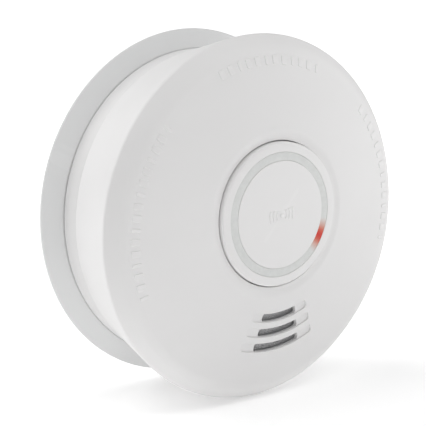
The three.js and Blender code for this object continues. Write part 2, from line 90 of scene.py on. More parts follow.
BACK = 4.7
FLOOR_TOP = 6.2
NECK_RADIUS = 52.0
NECK_TOP = 12.0
TONGUE_RADIUS = 50.7
TONGUE_TOP = 15.5
TONGUE_WALL = 1.7
WELL = (29.7, 16.9, 22.4)  # half width, half height and top of the battery well's outside
WELL_ROOM = (28.2, 15.4, 20.9)  # and of its inside
BOARD_BOSSES = ((28, 24), (-38, -8), (20, -37))
SEAT_CIRCLE = 45.5
SEAT_ANGLES = (90, 210, 330)
HOOK_ANGLES = (30, 150, 270)
BRACKET_RADIUS = 58.3
BRACKET_LIP = 52.3
BRACKET_HEIGHT = 4.4
WEB = 2.0
WEB_EDGE = 49.5
RIBS = (39.0, 20.0)  # inner radii of the bracket's ribs
RIB_WIDTH = 1.2
RIB_TOP = 3.4
SCREW_OFFSET = 33.0

# The object stands on its rim with a slight lean about its own axis. Camera, lights and floor are
# placed in the upright room, and this turns them into the object's frame.
LEAN = Matrix.Rotation(math.radians(3.3), 3, "Y")
WORLD_LIGHT = 0.33
FLOOR_GLOW = (0.26, 0.66)  # strength near the object and away from it
GLOW_DISTANCE = (0.13, 0.4)  # metres from the object over which it grows
LIGHTS = (
    ("behind_left", -150, 30, 5.0),
    ("right", 75, 15, 2.5),
    ("key", 25, 60, 3.7),
    ("top", -125, 70, 3.6),
)  # name, azimuth, elevation, power
CAMERA_AZIMUTH = -38.46
CAMERA_ELEVATION = 11.82
CAMERA_AIM = (-17.04, 3.79, RIM_HEIGHT)  # the point in the middle of the picture
CAMERA_DISTANCE = 0.6
CAMERA_LENS = 159.3


def to_row(x, y, z):
    """A point of the front frame in millimetres, as a point of the row frame in metres."""
    return Vector((x, -z, y)) / 1000


def polar(radius, degrees):
    angle = math.radians(degrees)
    return radius * math.cos(angle), radius * math.sin(angle)


def dome(x, y):
    """Height of the cover's dome before the dish is sunk into it."""
    return DOME_HEIGHT - DOME_RADIUS + math.sqrt(DOME_RADIUS**2 - x * x - y * y)


def crown(x, y):
    """Height of the button's slightly domed top."""
    rise = math.sqrt(BUTTON_CROWN**2 - x * x - (y - BUTTON_Y) ** 2)
    return BUTTON_FACE - BUTTON_CROWN + rise


def smoothstep(t):
    t = min(max(t, 0.0), 1.0)
    return t * t * (3 - 2 * t)


def face(x, y):
    """Height of the cover's face: the dome with its shallow dish round the button."""
    off = math.hypot(x, y - BUTTON_Y)
    return dome(x, y) - DISH_DEPTH * smoothstep((DISH_RADIUS - off) / (DISH_RADIUS - BUTTON_HOLE - 0.6))


# ---- Mesh helpers ---------------------------------------------------------------------------------
def mesh_object(name, vertices, faces):
    mesh = bpy.data.meshes.new(name)
    mesh.from_pydata([to_row(*v) for v in vertices], [], faces)
    b = bmesh.new()
    b.from_mesh(mesh)
    bmesh.ops.remove_doubles(b, verts=b.verts, dist=1e-7)
    bmesh.ops.recalc_face_normals(b, faces=b.faces)
    b.to_mesh(mesh)
    b.free()
    obj = bpy.data.objects.new(name, mesh)
    bpy.context.scene.collection.objects.link(obj)
    return obj


def shade(obj, angle):
    """Smooth shading, with edges sharper than the angle kept crisp."""
    mesh = obj.data
    mesh.shade_smooth()
    mesh.set_sharp_from_angle(angle=math.radians(angle))


def arc_corner(before, corner, after, radius, steps=5):
    """Points that round a corner of a polyline with a circular arc."""
    a = (Vector(before) - Vector(corner)).normalized()
    b = (Vector(after) - Vector(corner)).normalized()
    half = math.acos(max(-1.0, min(1.0, a.dot(b)))) / 2
    reach = radius / math.tan(half)
    start, end = Vector(corner) + a * reach, Vector(corner) + b * reach
    middle = Vector(corner) + (a + b).normalized() * (radius / math.sin(half))
    points = []
    for i in range(steps + 1):
        chord = start.lerp(end, i / steps) - middle
        points.append(tuple(middle + chord.normalized() * radius))
    return points


def rounded(points):
    """A closed outline from (x, y) or (x, y, corner radius) points."""
    out = []
    for i, p in enumerate(points):
        if len(p) == 2 or p[2] == 0:
            out.append(tuple(p[:2]))
            continue
        before, after = points[i - 1][:2], points[(i + 1) % len(points)][:2]
        out += arc_corner(before, p[:2], after, p[2])
    return out


def loft(rings, closed=True, caps=False):
    """Vertices and faces that join rings of equal length, in order round a tube or a torus."""
    count = len(rings[0])
    vertices = [v for ring in rings for v in ring]
    faces = []
    last = len(rings) if closed else len(rings) - 1
    for k in range(last):
        a, b = k * count, ((k + 1) % len(rings)) * count
        for i in range(count):
            j = (i + 1) % count
            faces.append((a + i, a + j, b + j, b + i))
    if caps:
        faces.append(tuple(range(count)))
        faces.append(tuple(reversed(range((len(rings) - 1) * count, len(rings) * count))))
    return vertices, faces


def circle(radius, height, centre=(0.0, 0.0), count=ROUND):
    """A ring of points; height is a number, or a function of the point's x and y."""
    ring = []
    for i in range(count):
        angle = 2 * math.pi * i / count
        x, y = centre[0] + radius * math.cos(angle), centre[1] + radius * math.sin(angle)
        ring.append((x, y, height(x, y) if callable(height) else height))
    return ring


def turned(name, outline, centre=(0.0, 0.0), count=ROUND):
    """A body of revolution from a closed outline of (radius, height, corner radius) points."""
    points = rounded(outline)
    on_axis = [i for i, (radius, _) in enumerate(points) if radius < 1e-6]
    if on_axis:
        # start just after one end on the axis, so that the outline runs from axis to axis
        i = next(i for i in on_axis if (i + 1) % len(points) not in on_axis)
        points = points[i:] + points[:i]
        points = [(max(radius, 1e-5), height) for radius, height in points]
        vertices, faces = loft([circle(r, z, centre, count) for r, z in points], False, True)
    else:
        vertices, faces = loft([circle(r, z, centre, count) for r, z in points])
    return mesh_object(name, vertices, faces)


def prism(name, outline, bottom, top):
    """A straight body from a closed outline of (x, y) points."""
    rings = [[(x, y, height) for x, y in outline] for height in (bottom, top)]
    return mesh_object(name, *loft(rings, False, True))


def sector_outline(inner, outer, start, end, corner=0.0, step=1.0):
    """The outline of an arc of a ring with rounded corners, going round once."""
    middle = (inner + outer) / 2
    flat = [(inner, start), (outer, start), (outer, end), (inner, end)]
    unrolled = [(r, math.radians(a) * middle, corner) for r, a in flat]
    outline = rounded(unrolled)
    out = []
    for i, (r, run) in enumerate(outline):
        following = outline[(i + 1) % len(outline)]
        pieces = max(1, round(abs(following[1] - run) / step))
        for k in range(pieces):
            u = k / pieces
            radius = r + (following[0] - r) * u
            out.append(polar(radius, math.degrees((run + (following[1] - run) * u) / middle)))
    return out


def offset_outline(outline, distance):
    """The outline moved outwards by a distance, point by point."""
    area = sum(a[0] * b[1] - b[0] * a[1] for a, b in zip(outline, outline[1:] + outline[:1]))
    side = 1 if area > 0 else -1
    out = []
    for i, p in enumerate(outline):
        before, after = Vector(outline[i - 1]), Vector(outline[(i + 1) % len(outline)])
        along = (after - before).normalized()
        out.append((p[0] + side * along.y * distance, p[1] - side * along.x * distance))
    return out


def boolean(obj, cutters, operation):
    """Joins or cuts the object with others, which are used up."""
    for cutter in cutters:
        modifier = obj.modifiers.new("cut", "BOOLEAN")
        modifier.operation = operation
        modifier.solver = "EXACT"
        modifier.object = cutter
    bake_modifiers(obj)
    for cutter in cutters:
        bpy.data.objects.remove(cutter)
    return obj


def bake_modifiers(obj):
    """Makes the object's mesh what its modifiers gave."""
    bpy.context.view_layer.update()
    evaluated = obj.evaluated_get(bpy.context.evaluated_depsgraph_get())
    mesh = bpy.data.meshes.new_from_object(evaluated)
    obj.modifiers.clear()
    obj.data = mesh


def recess(name, outline, depth, edge=0.22):
    """A cutter that sinks an outline into the face, with a rounded upper edge."""
    steps = 4
    clear = 1.0
    rings = [[(x, y, dome(x, y) - depth) for x, y in outline]]
    for k in range(steps + 1):
        angle = math.pi / 2 * k / steps
        grown = offset_outline(outline, edge * (1 - math.cos(angle)))
        rings.append([(x, y, dome(x, y) - edge * (1 - math.sin(angle))) for x, y in grown])
    top = offset_outline(outline, edge * 1.6)
    rings.append([(x, y, dome(x, y) + clear) for x, y in top])
    return mesh_object(name, *loft(rings, False, True))


def relief(outline, surface, height, draft=0.12):
    """Vertices and faces of a raised mark on a surface, with sloping sides and a rounded top edge."""
    layers = [(draft, -0.3), (draft, 0.0), (draft * 0.35, height * 0.6), (-draft * 0.3, height)]
    rings = []
    for grow, lift in layers:
        grown = offset_outline(outline, grow)
        rings.append([(x, y, surface(x, y) + lift) for x, y in grown])
    return loft(rings, False, True)


def merged(name, parts):
    """One object from several (vertices, faces) pairs."""
    vertices, faces = [], []
    for part_vertices, part_faces in parts:
        start = len(vertices)
        vertices += part_vertices
        faces += [tuple(start + i for i in f) for f in part_faces]
    return mesh_object(name, vertices, faces)


def settle(obj, body, material, nodes=(), angle=32):
    """Gives a finished piece its shading, material and body, and hides the CAD nodes it stands for."""
    shade(obj, angle)
    obj.data.materials.clear()
    obj.data.materials.append(material)
    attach(obj, body)
    if nodes:
        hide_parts(*nodes)
    return obj


# ---- Material helpers -----------------------------------------------------------------------------
class Graph:
    """A material's node tree, with short calls for the nodes used here."""

    def __init__(self, name):
        self.material = bpy.data.materials.new(name)
        self.material.use_nodes = True
        self.nodes = self.material.node_tree.nodes
        self.links = self.material.node_tree.links
        self.shader = self.nodes["Principled BSDF"]
        self.place = self.add("ShaderNodeTexCoord").outputs["Object"]

    def add(self, kind, **settings):
        node = self.nodes.new(kind)
        for key, value in settings.items():
            setattr(node, key, value)
        return node

    def put(self, socket, value):
        if isinstance(value, bpy.types.NodeSocket):
            self.links.new(value, socket)
        else:
            socket.default_value = value

    def set(self, **values):
        """Shader inputs by name, with _ for a space."""
        for key, value in values.items():
            self.put(self.shader.inputs[key.replace("_", " ")], value)

    def math(self, operation, a, b=0.0, c=0.0):
        node = self.add("ShaderNodeMath", operation=operation)
        for socket, value in zip(node.inputs, (a, b, c)):
            self.put(socket, value)
        return node.outputs[0]

    def spread(self, value, low, high, to_low=0.0, to_high=1.0, kind="SMOOTHSTEP"):
        node = self.add("ShaderNodeMapRange", interpolation_type=kind)
        for socket, v in zip(node.inputs, (value, low, high, to_low, to_high)):
            self.put(socket, v)
        return node.outputs[0]

    def stretched(self, scale):
        node = self.add("ShaderNodeMapping")
        self.links.new(self.place, node.inputs["Vector"])
        node.inputs["Scale"].default_value = scale
        return node.outputs[0]

    def noise(self, scale, detail=2.0, roughness=0.5, vector=None):
        node = self.add("ShaderNodeTexNoise")
        self.put(node.inputs["Vector"], vector or self.place)
        for key, value in (("Scale", scale), ("Detail", detail), ("Roughness", roughness)):
            node.inputs[key].default_value = value
        return node.outputs[0]

    def cells(self, scale):
        node = self.add("ShaderNodeTexVoronoi")
        self.put(node.inputs["Vector"], self.place)
        node.inputs["Scale"].default_value = scale
        return node.outputs["Distance"]

    def mix(self, factor, a, b):
        node = self.add("ShaderNodeMix", data_type="RGBA")
        self.put(node.inputs[0], factor)
        for socket, value in ((node.inputs[6], a), (node.inputs[7], b)):
            self.put(socket, value if isinstance(value, bpy.types.NodeSocket) else (*value, 1.0))
        return node.outputs[2]

    def bump(self, height, strength, distance, normal=None):
        node = self.add("ShaderNodeBump")
        self.put(node.inputs["Height"], height)
        node.inputs["Strength"].default_value = strength
        node.inputs["Distance"].default_value = distance
        if normal:
            self.links.new(normal, node.inputs["Normal"])
        return node.outputs[0]

    def axis(self, index):
        node = self.add("ShaderNodeSeparateXYZ")
        self.links.new(self.place, node.inputs[0])
        return node.outputs[index]


def grey(level, tint):
    return tuple(level * t for t in tint)


def moulded(name, color, roughness, grain=1.0):
    """Moulded plastic: a fine etched grain, faint flow marks, slight polish where edges stand out, and a
    painted highlight there in a slightly lighter colour.
    """
    g = Graph(name)
    flow = g.noise(9.0, 3.0, 0.55, g.stretched((1.0, 1.0, 2.6)))
    dust = g.noise(260.0, 4.0, 0.6)
    tone = g.spread(flow, 0.3, 0.7)
    shaded = tuple(c * 0.975 for c in color)
    base = g.mix(tone, shaded, color)
    base = g.mix(g.spread(dust, 0.62, 0.78, 0.0, 0.05), base, tuple(c * 0.9 for c in color))
    # Mask of standing-out edges: it lowers the roughness there (polish) and lightens the colour there (a
    # painted highlight).
    edge = g.spread(g.add("ShaderNodeNewGeometry").outputs["Pointiness"], 0.505, 0.56)
    # Painted highlight: the base colour is a little lighter on standing-out edges.
    base = g.mix(g.math("MULTIPLY", edge, 0.3), base, tuple(min(1.0, c * 1.05) for c in color))
    rough = g.spread(g.noise(45.0, 4.0, 0.6), 0.3, 0.7, roughness - 0.05, roughness + 0.05)
    rough = g.math("SUBTRACT", rough, g.math("MULTIPLY", edge, 0.08))
    etched = g.bump(g.noise(5200.0, 2.0, 0.6), 0.35 * grain, 0.00003)
    waved = g.bump(g.noise(70.0, 1.0), 0.06, 0.0004, etched)
    g.set(Base_Color=base, Roughness=rough, Normal=waved, IOR=1.46)
    return g.material


def light_guide(name):
    """Diffusing acrylic, lit red from below over a short arc."""
    g = Graph(name)
    across, up = g.axis(0), g.math("SUBTRACT", g.axis(2), BUTTON_Y / 1000)
    angle = g.math("ARCTAN2", up, across)
    lamp = math.radians(LAMP_ANGLES[0])
    away = g.math("ABSOLUTE", g.math("SUBTRACT", angle, lamp))
    halo = g.spread(away, math.radians(19), math.radians(4))
    core = g.spread(away, math.radians(11), 0.0)
    milky = g.noise(600.0, 3.0, 0.6)
    plain = g.mix(g.spread(milky, 0.3, 0.7), (0.66, 0.67, 0.66), (0.7, 0.71, 0.7))
    lit = g.mix(core, (0.5, 0.19, 0.12), (0.34, 0.012, 0.005))
    g.set(Base_Color=g.mix(halo, plain, lit))
    g.set(Emission_Color=g.mix(core, (0.3, 0.05, 0.02), (0.75, 0.03, 0.008)))
    g.set(Emission_Strength=g.math("MULTIPLY", halo, 0.3))
    g.set(Roughness=g.spread(milky, 0.3, 0.7, 0.36, 0.46), IOR=1.49)
    g.set(Normal=g.bump(g.noise(3500.0, 2.0), 0.2, 0.00002))
    return g.material


def metal(name, color, roughness, brush=(1.0, 1.0, 40.0)):
    """Plated or rolled metal with fine drawn lines and a little tarnish."""
    g = Graph(name)
    lines = g.noise(900.0, 3.0, 0.6, g.stretched(brush))
    tarnish = g.noise(160.0, 5.0, 0.65)
    dull = tuple(c * 0.72 for c in color)
    g.set(Base_Color=g.mix(g.spread(tarnish, 0.5, 0.8, 0.0, 0.6), color, dull))
    rough = g.spread(lines, 0.3, 0.7, roughness - 0.07, roughness + 0.1)
    g.set(Metallic=1.0, Roughness=rough, Normal=g.bump(lines, 0.15, 0.00003))
    g.set(Coat_Weight=0.2, Coat_Roughness=0.25)
    return g.material


def solder_mask(name):
    """A green board: buried copper tracks, drilled vias and a mottled glossy mask."""
    g = Graph(name)
    weave = g.noise(420.0, 2.0)
    tracks = g.add("ShaderNodeTexBrick")
    turn = g.add("ShaderNodeMapping")
    g.links.new(g.place, turn.inputs["Vector"])
    turn.inputs["Rotation"].default_value = (math.pi / 2, 0.0, 0.0)
    g.links.new(turn.outputs[0], tracks.inputs["Vector"])
    for key, value in (("Scale", 420.0), ("Mortar Size", 0.045), ("Mortar Smooth", 0.2)):
        tracks.inputs[key].default_value = value
    copper = g.math("SUBTRACT", 1.0, tracks.outputs["Fac"])
    vias = g.spread(g.cells(330.0), 0.14, 0.1)
    board = g.mix(g.spread(weave, 0.3, 0.7), (0.012, 0.1, 0.035), (0.016, 0.13, 0.045))
    board = g.mix(g.math("MULTIPLY", copper, 0.55), board, (0.03, 0.2, 0.07))
    board = g.mix(vias, board, (0.42, 0.33, 0.14))
    height = g.math("ADD", g.math("MULTIPLY", copper, 0.5), vias)
    g.set(Base_Color=board, Roughness=g.spread(weave, 0.2, 0.8, 0.22, 0.36))
    g.set(Normal=g.bump(height, 0.3, 0.00005), Coat_Weight=0.4, Coat_Roughness=0.12)
    return g.material


def lens(name, color):
    """Clear tinted epoxy over a pale chip."""
    g = Graph(name)
    haze = g.noise(500.0, 3.0)
    g.set(Base_Color=g.mix(g.spread(haze, 0.3, 0.7), color, tuple(min(1.0, c * 1.5 + 0.02) for c in color)))
    g.set(Roughness=g.spread(haze, 0.3, 0.7, 0.06, 0.16), Transmission_Weight=0.45, IOR=1.5)
    return g.material


def cell_sleeve(name):
    """A battery's shrink sleeve: a dark body, a copper band towards one end and a bare metal rim."""
    g = Graph(name)
    along = g.axis(0)
    band = g.spread(along, 0.0085, 0.0089, kind="LINEAR")
    scuff = g.noise(90.0, 5.0, 0.7, g.stretched((1.0, 4.0, 4.0)))
    tone = g.mix(band, (0.018, 0.02, 0.026), (0.5, 0.2, 0.06))
    tone = g.mix(g.spread(scuff, 0.62, 0.75, 0.0, 0.25), tone, (0.3, 0.3, 0.3))
    g.set(Base_Color=tone, Roughness=g.spread(scuff, 0.3, 0.7, 0.22, 0.38), Metallic=0.25)
    g.set(Normal=g.bump(scuff, 0.08, 0.0001), Coat_Weight=0.5, Coat_Roughness=0.15)
    return g.material


WARM = (1.0, 0.992, 0.99)
MATERIALS = {
    "shell": moulded("shell_plastic", grey(0.80, WARM), 0.5),
    "bracket": moulded("bracket_plastic", grey(0.78, (0.995, 1.0, 1.0)), 0.55, 1.2),
    "button": moulded("button_plastic", grey(0.81, WARM), 0.46, 0.8),
    "light_guide": light_guide("diffusing_acrylic"),
    "board": solder_mask("solder_mask"),
    "black_plastic": moulded("black_plastic", (0.02, 0.02, 0.022), 0.5, 1.6),
    "screen": moulded("screen_nylon", (0.58, 0.58, 0.59), 0.6),
    "steel": metal("nickel_plate", (0.62, 0.62, 0.6), 0.28),
    "brass": metal("brass", (0.72, 0.5, 0.2), 0.3, (8.0, 1.0, 8.0)),
    "piezo": metal("silvered_ceramic", (0.7, 0.68, 0.62), 0.45, (1.0, 1.0, 1.0)),
    "cell": cell_sleeve("cell_sleeve"),
    "red_lens": lens("red_lens", (0.75, 0.03, 0.015)),
    "green_lens": lens("green_lens", (0.08, 0.5, 0.1)),
    "amber_lens": lens("amber_lens", (0.8, 0.3, 0.02)),
}


# ---- Front cover ----------------------------------------------------------------------------------
def face_edge(inset, steps):
    """Radius and height round the edge of the face, from the dome down to the rim, moved in."""
    start = Vector((EDGE_RADIUS, dome(EDGE_RADIUS, 0.0) - inset))
    bend = Vector((EDGE_CONTROL[0] - 0.6 * inset, EDGE_CONTROL[1] - inset))
    end = Vector((RIM_RADIUS - inset, RIM_HEIGHT - 0.6 * inset))
    curve = []
    for k in range(steps + 1):
        t = k / steps
        curve.append(tuple(start.lerp(bend, t).lerp(bend.lerp(end, t), t)))
    return curve


def flare(height):
    """Radius of the flared side at a height."""
    return LIP_RADIUS + (RIM_RADIUS - LIP_RADIUS) * (height - LIP_HEIGHT) / (RIM_HEIGHT - LIP_HEIGHT)


def under(x, y):
    """Height of the cover's inner face."""
    return dome(x, y) - COVER_WALL


def face_rings():
    """Rings from the button's hole out to where the face's edge begins."""
    hole = (0.0, BUTTON_Y)
    lip = 0.4
    lip_steps, blend_steps, face_steps = 5, 22, 26
    rings = [circle(BUTTON_HOLE, COLLAR_BOTTOM, hole)]
    for k in range(lip_steps + 1):
        angle = math.pi / 2 * k / lip_steps
        radius = BUTTON_HOLE + lip * (1 - math.cos(angle))
        drop = lip * (1 - math.sin(angle))
        rings.append(circle(radius, lambda x, y, d=drop: face(x, y) - d, hole))
    inner, settled = BUTTON_HOLE + lip, 31.0
    for k in range(1, blend_steps + 1):
        t = k / blend_steps
        rings.append(circle(inner + (settled - inner) * t, face, (0.0, BUTTON_Y * (1 - t))))
    for k in range(1, face_steps):
        rings.append(circle(settled + (EDGE_RADIUS - settled) * k / face_steps, face))
    return rings


def side_rings():
    """Rings round the face's edge, down the flared side and round its rear lip."""
    below_rim = RIM_HEIGHT - 2.0
    above_lip = LIP_HEIGHT + 1.2
    side_steps = 10
    edge = face_edge(0.0, 14)[:9]
    rim = arc_corner(edge[-1], (RIM_RADIUS, RIM_HEIGHT), (flare(below_rim), below_rim), RIM_ROUND)
    profile = edge + rim
    for k in range(side_steps + 1):
        level = below_rim + (above_lip - below_rim) * k / side_steps
        profile.append((flare(level), level))
    lip = [
        (LIP_RADIUS + 0.3, above_lip, 0),
        (LIP_RADIUS, LIP_HEIGHT, 0.9),
        (LIP_RADIUS - LIP_WALL, LIP_HEIGHT, 0.4),
    ]
    profile += rounded(lip)[1:]
    return [circle(radius, level) for radius, level in profile]


def inner_rings():
    """Rings back up inside the side, in under the face and down the button's collar."""
    hole = (0.0, BUTTON_Y)
    blend_radius = 33.0
    collar = BUTTON_HOLE + 1.6
    face_steps, blend_steps = 11, 6
    profile = [(flare(level) - COVER_WALL, level) for level in (LIP_HEIGHT + 3.2, 24.0, RIM_HEIGHT - 2.0)]
    profile += reversed(face_edge(COVER_WALL, 5)[1:-1])
    rings = [circle(radius, level) for radius, level in profile]
    for k in range(face_steps + 1):
        rings.append(circle(EDGE_RADIUS - (EDGE_RADIUS - blend_radius) * k / face_steps, under))
    for k in range(1, blend_steps + 1):
        t = k / blend_steps
        rings.append(circle(blend_radius + (collar - blend_radius) * t, under, (0.0, BUTTON_Y * t)))
    rings.append(circle(collar, COLLAR_BOTTOM, hole))
    return rings


def cover_shell():
    """The cover as one closed shell: rings out over the face, down the side and back inside."""
    return mesh_object("front_cover_shell", *loft(face_rings() + side_rings() + inner_rings()))


def grille_cutters():
    """For each arc of the grille, a sunk channel and a shorter slot through the wall."""
    cutters = []
    for i, radius in enumerate(SLOT_CIRCLES):
        spans = []
        for cut in (CHANNEL, SLOT):
            half = cut["half_width"]
            start, end = SLOT_MIDDLE - cut["half_angle"], SLOT_MIDDLE + cut["half_angle"]
            spans.append(sector_outline(radius - half, radius + half, start, end, cut["corner"], 0.8))
        cutters.append(recess(f"channel_{i}", spans[0], CHANNEL["depth"]))
        cutters.append(prism(f"slot_{i}", spans[1], 40.0, 56.0))
    return cutters


def front_cover():
    cover = cover_shell()
    boolean(cover, grille_cutters(), "DIFFERENCE")
    cover.name = "front_cover_skin"
    return settle(cover, "detector", MATERIALS["shell"], ["front_cover"], 28)


def rim_marks():
    """Low raised dashes in three arcs near the edge of the face, in place of moulded lettering."""
    parts = []
    for start, end in ((61, 109), (134, 199), (-19, 37)):
        count = round((end - start) / 4.1)
        for i in range(count):
            middle = start + (end - start) * (i + 0.5) / count
            reach = 1.1 if i % 3 else 0.55
            outline = sector_outline(50.6, 53.4, middle - reach, middle + reach, 0.4, 0.6)
            parts.append(relief(outline, dome, 0.2))
    marks = merged("rim_marks", parts)
    return settle(marks, "detector", MATERIALS["shell"], (), 40)


# ---- Button and light ring ------------------------------------------------------------------------
def test_button():
    groove_inner, groove_outer = GROOVE
    crown_at = lambda r: crown(r, BUTTON_Y)
    outline = [
        (0.0, 31.2, 0),
        (2.2, 31.2, 0.4),
        (2.2, 48.0, 0.3),
        (4.8, 48.0, 0.3),
        (4.8, 49.2, 0),
        (groove_inner - 1.5, 49.2, 0),
        (groove_inner - 1.5, GROOVE_FLOOR[0], 0),
        (BUTTON_RADIUS - 1.7, GROOVE_FLOOR[0], 0),
        (BUTTON_RADIUS - 1.7, COLLAR_BOTTOM + 1, 0.2),
        (BUTTON_RADIUS, COLLAR_BOTTOM + 1, 0.3),
        (BUTTON_RADIUS, crown_at(BUTTON_RADIUS), 0.7),
        (groove_outer + 0.8, crown_at(groove_outer + 0.8), 0),
        (groove_outer, crown_at(groove_outer), 0.12),
        (groove_outer, GROOVE_FLOOR[1], 0.1),
        (groove_inner, GROOVE_FLOOR[1], 0.1),
        (groove_inner, crown_at(groove_inner), 0.12),
    ]
    outline += [(r, crown_at(r), 0) for r in range(16, -1, -1)]
    button = turned("test_button_cap", outline, (0.0, BUTTON_Y), 180)
    barbs = []
    for angle in (60, 180, 300):
        flat = sector_outline(BUTTON_RADIUS - 1.7, BUTTON_RADIUS - 0.1, angle - 10, angle + 10)
        hook = sector_outline(BUTTON_RADIUS - 1.6, 25.2, angle - 10, angle + 10)
        for name, outline, top in (("barb", flat, COLLAR_BOTTOM + 1.2), ("hook", hook, COLLAR_BOTTOM - GAP)):
            moved = [(x, y + BUTTON_Y) for x, y in outline]
            barbs.append(prism(f"{name}_{angle}", moved, COLLAR_BOTTOM - 1.8, top))
    boolean(button, barbs, "UNION")
    holes = []
    for angle in LAMP_ANGLES:
        outline = sector_outline(*RING, angle - 8.5, angle + 8.5)
        moved = [(x, y + BUTTON_Y) for x, y in outline]
        holes.append(prism(f"leg_hole_{angle:.0f}", moved, 45.0, GROOVE_FLOOR[1] + 0.4))
    boolean(button, holes, "DIFFERENCE")
    return settle(button, "button", MATERIALS["button"], ["test_button"], 30)


def button_mark():
    """A generic raised mark in the middle of the button: a dot with widening arcs on both sides."""
    parts = [relief([polar(0.75, a) for a in range(0, 360, 20)], lambda x, y: crown(x, y + BUTTON_Y), 0.16)]
    for side in (0, 180):
        for radius, spread in ((2.0, 42), (3.4, 30), (4.8, 23)):
            outline = sector_outline(radius - 0.28, radius + 0.28, side - spread, side + spread, 0.2, 0.4)
            parts.append(relief(outline, lambda x, y: crown(x, y + BUTTON_Y), 0.16))
    parts = [([(x, y + BUTTON_Y, z) for x, y, z in vertices], faces) for vertices, faces in parts]
    return settle(merged("button_mark", parts), "button", MATERIALS["button"], (), 40)


def light_ring():
    inner, outer = RING
    floor = GROOVE_FLOOR[1] + 0.3
    top = [crown(r, BUTTON_Y) - RING_SINK for r in RING]
    outline = [(inner, floor, 0.2), (outer, floor, 0.2), (outer, top[1], 0.12), (inner, top[0], 0.12)]
    ring = turned("light_ring_guide", outline, (0.0, BUTTON_Y), 180)
    legs = []
    for angle in LAMP_ANGLES:
        outline = sector_outline(inner + 0.3, outer - 0.3, angle - 7, angle + 7, 0.3)
        moved = [(x, y + BUTTON_Y) for x, y in outline]
        legs.append(prism(f"leg_{angle:.0f}", moved, 30.2, top[1] - 1))
    boolean(ring, legs, "UNION")
    return settle(ring, "button", MATERIALS["light_guide"], ["light_ring"])


# ---- Grille screen --------------------------------------------------------------------------------
def grille_screen():
    """A woven wire screen behind the slots, where the CAD plate stands."""
    low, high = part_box("grille_screen")
    low, high = low * 1000, high * 1000
    tilt = math.radians(11.8)
    width, length = high.x - low.x, (high.z - low.z) / math.cos(tilt)
    centre = Vector((0.0, (low.z + high.z) / 2, -(low.y + high.y) / 2))
    pitch, wire, sway = 0.6, 0.2, 0.09
    across = Vector((1.0, 0.0, 0.0))
    down = Vector((0.0, math.cos(tilt), math.sin(tilt)))
    normal = across.cross(down)
    parts = []
    for run, step, run_length, step_length in ((across, down, width, length), (down, across, length, width)):
        wires = int(step_length / pitch)
        for k in range(wires):
            shift = (k - (wires - 1) / 2) * pitch
            samples = int(run_length / pitch) * 2
            rings = []
            for i in range(samples + 1):
                along = (i / samples - 0.5) * (run_length - 0.1)
                phase = math.pi * (along / pitch + k) + (0 if run is across else math.pi)
                middle = centre + run * along + step * shift + normal * sway * math.cos(phase)
                ring = []
                for q in range(6):
                    turn = math.pi / 3 * q
                    ring.append(tuple(middle + step * wire * math.cos(turn) + normal * wire * math.sin(turn)))
                rings.append(ring)
            parts.append(loft(rings, False, True))
    screen = merged("grille_screen_weave", parts)
    return settle(screen, "detector", MATERIALS["screen"], ["grille_screen"], 60)


# ---- Rear housing and bracket ---------------------------------------------------------------------
def box_outline(half_width, half_height, corner):
    """A rectangle round the axis with rounded corners."""
    corners = [(1, 1), (-1, 1), (-1, -1), (1, -1)]
    return rounded([(half_width * x, half_height * y, corner) for x, y in corners])


def rear_neck():
    """The housing's cup as a finely turned body; its well, bosses and slots follow the CAD."""
    outline = [
        (0.0, BACK, 0),
        (NECK_RADIUS, BACK, 0.4),
        (NECK_RADIUS, NECK_TOP, 0.15),
        (TONGUE_RADIUS, NECK_TOP, 0),
        (TONGUE_RADIUS, TONGUE_TOP, 0.3),
        (TONGUE_RADIUS - TONGUE_WALL, TONGUE_TOP, 0.3),
        (TONGUE_RADIUS - TONGUE_WALL, FLOOR_TOP, 0.5),
        (0.0, FLOOR_TOP, 0),
    ]
    cup = turned("rear_housing_shell", outline)
    half_width, half_height, well_top = WELL
    joined = [prism("well", box_outline(half_width, half_height, 1.2), BACK + 0.1, well_top)]
    for place in BOARD_BOSSES:
        joined.append(turned("boss", [(0, 6.0), (3, 6.0), (3, 23.9), (0, 23.9)], place, 40))
    seats = [polar(SEAT_CIRCLE, angle) for angle in SEAT_ANGLES]
    for place in seats:
        joined.append(turned("seat", [(0, 6.0), (3.4, 6.0), (3.4, 8.3), (0, 8.3)], place, 40))
    boolean(cup, joined, "UNION")
    half_width, half_height, room_top = WELL_ROOM
    removed = [prism("room", box_outline(half_width, half_height, 0.8), 3.0, room_top)]
    for place in BOARD_BOSSES:
        removed.append(turned("pilot", [(0, 16.0), (1.25, 16.0), (1.25, 25.0), (0, 25.0)], place, 32))
    stepped = [(0, 3.7), (2.9, 3.7), (2.9, 6.5), (1.4, 6.5), (1.4, 9), (0, 9)]
    for place in seats:
        removed.append(turned("hole", stepped, place, 32))
    for angle in HOOK_ANGLES:
        wide = sector_outline(41.6, 46.6, angle - 24.5, angle - 7.5, 0.6)
        narrow = sector_outline(41.6, 44.4, angle - 9.5, angle + 7.5, 0.6)
        removed += [prism("wide", wide, 3.7, 7.2), prism("narrow", narrow, 3.7, 7.2)]
    for y in (-7.5, 7.5):
        slot = [(-27.1, y + 1.6), (-28.3, y + 1.6), (-28.3, y - 1.6), (-27.1, y - 1.6)]
        removed.append(prism("tab_slot", slot, 19.9, 23.4))
    boolean(cup, removed, "DIFFERENCE")
    return settle(cup, "detector", MATERIALS["shell"], ["rear_housing"], 30)


